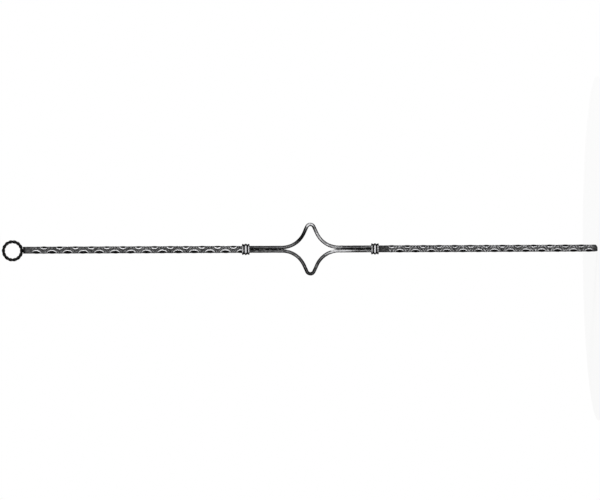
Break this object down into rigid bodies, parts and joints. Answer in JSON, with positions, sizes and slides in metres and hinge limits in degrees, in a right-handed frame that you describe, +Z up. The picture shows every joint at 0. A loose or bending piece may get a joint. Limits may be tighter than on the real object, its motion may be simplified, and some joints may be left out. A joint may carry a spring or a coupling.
{
  "type": "wrought iron baluster",
  "caption": "Slim upright baluster of edge-hammered square iron bar, with an open star of bent straps held by banded collars at mid height and a twisted ring on its head.",
  "frame": {"origin": "middle of the square bar, at the lowest point of its sheared foot", "axes": "+Z up along the post, +X across the star in the plane of star and ring, +Y through the star and ring from front to back"},
  "size_m": [0.092, 0.02, 1.0378],
  "materials": {
    "hammered_iron": "bare forged iron, dark in the dents and bright on their lips",
    "strap_iron": "bare forged iron, mottled",
    "collar_iron": "bare forged iron, bright on the bands",
    "ring_iron": "dark forge scale"
  },
  "bodies": {
    "root": {"lower_bar": "hammered_iron", "upper_bar": "hammered_iron", "right_star_strap": "strap_iron", "left_star_strap": "strap_iron", "lower_collar": "collar_iron", "upper_collar": "collar_iron", "head_ring": "ring_iron"}
  },
  "joints": []
}
